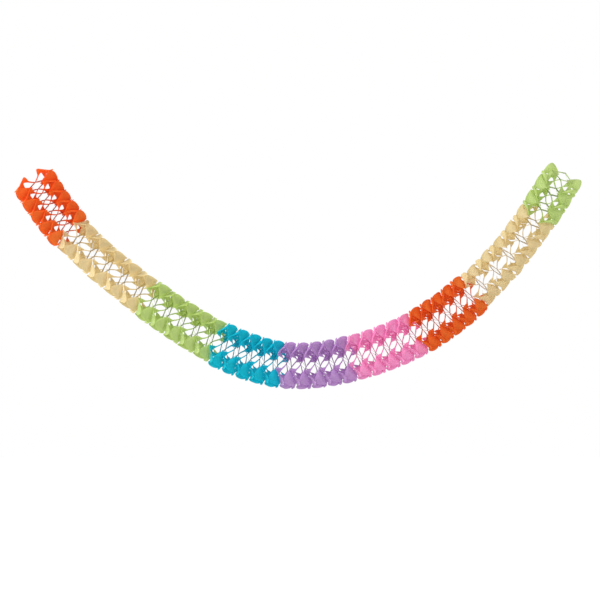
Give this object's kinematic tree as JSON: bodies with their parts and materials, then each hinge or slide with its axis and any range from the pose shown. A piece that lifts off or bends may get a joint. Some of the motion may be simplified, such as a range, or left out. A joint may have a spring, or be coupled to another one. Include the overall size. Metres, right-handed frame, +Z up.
{
  "type": "paper garland",
  "caption": "Hanging honeycomb garland of die-cut tissue paper: glued pairs of four-lobed sheets in runs of colour, pulled open into a swag.",
  "frame": {"origin": "middle of the left hang hole, in the upper lobe of the first sheet on the viewer's side", "axes": "+X from the left end to the right end, +Y away from the viewer, +Z up; the garland hangs in the XZ plane"},
  "size_m": [2.1045, 0.2244, 0.8518],
  "materials": {
    "orange_tissue": "matt orange tissue paper, finely creased, lets some light through",
    "cream_tissue": "matt cream tissue paper, finely creased, lets some light through",
    "green_tissue": "matt green tissue paper, finely creased, lets some light through",
    "turquoise_tissue": "matt turquoise tissue paper, finely creased, lets some light through",
    "lilac_tissue": "matt lilac tissue paper, finely creased, lets some light through",
    "pink_tissue": "matt pink tissue paper, finely creased, lets some light through"
  },
  "bodies": {
    "root": {"pair_01_orange": "orange_tissue", "pair_02_orange": "orange_tissue", "pair_03_orange": "orange_tissue", "pair_04_orange": "orange_tissue", "pair_05_orange": "orange_tissue", "pair_06_cream": "cream_tissue", "pair_07_cream": "cream_tissue", "pair_08_cream": "cream_tissue", "pair_09_cream": "cream_tissue", "pair_10_cream": "cream_tissue", "pair_11_green": "green_tissue", "pair_12_green": "green_tissue", "pair_13_green": "green_tissue", "pair_14_green": "green_tissue", "pair_15_green": "green_tissue", "pair_16_turquoise": "turquoise_tissue", "pair_17_turquoise": "turquoise_tissue", "pair_18_turquoise": "turquoise_tissue", "pair_19_turquoise": "turquoise_tissue", "pair_20_turquoise": "turquoise_tissue", "pair_21_lilac": "lilac_tissue", "pair_22_lilac": "lilac_tissue", "pair_23_lilac": "lilac_tissue", "pair_24_lilac": "lilac_tissue", "pair_25_lilac": "lilac_tissue", "pair_26_pink": "pink_tissue", "pair_27_pink": "pink_tissue", "pair_28_pink": "pink_tissue", "pair_29_pink": "pink_tissue", "pair_30_pink": "pink_tissue", "pair_31_orange": "orange_tissue", "pair_32_orange": "orange_tissue", "pair_33_orange": "orange_tissue", "pair_34_orange": "orange_tissue", "pair_35_orange": "orange_tissue", "pair_36_cream": "cream_tissue", "pair_37_cream": "cream_tissue", "pair_38_cream": "cream_tissue", "pair_39_cream": "cream_tissue", "pair_40_cream": "cream_tissue", "pair_41_green": "green_tissue", "pair_42_green": "green_tissue", "pair_43_green": "green_tissue"}
  },
  "joints": []
}
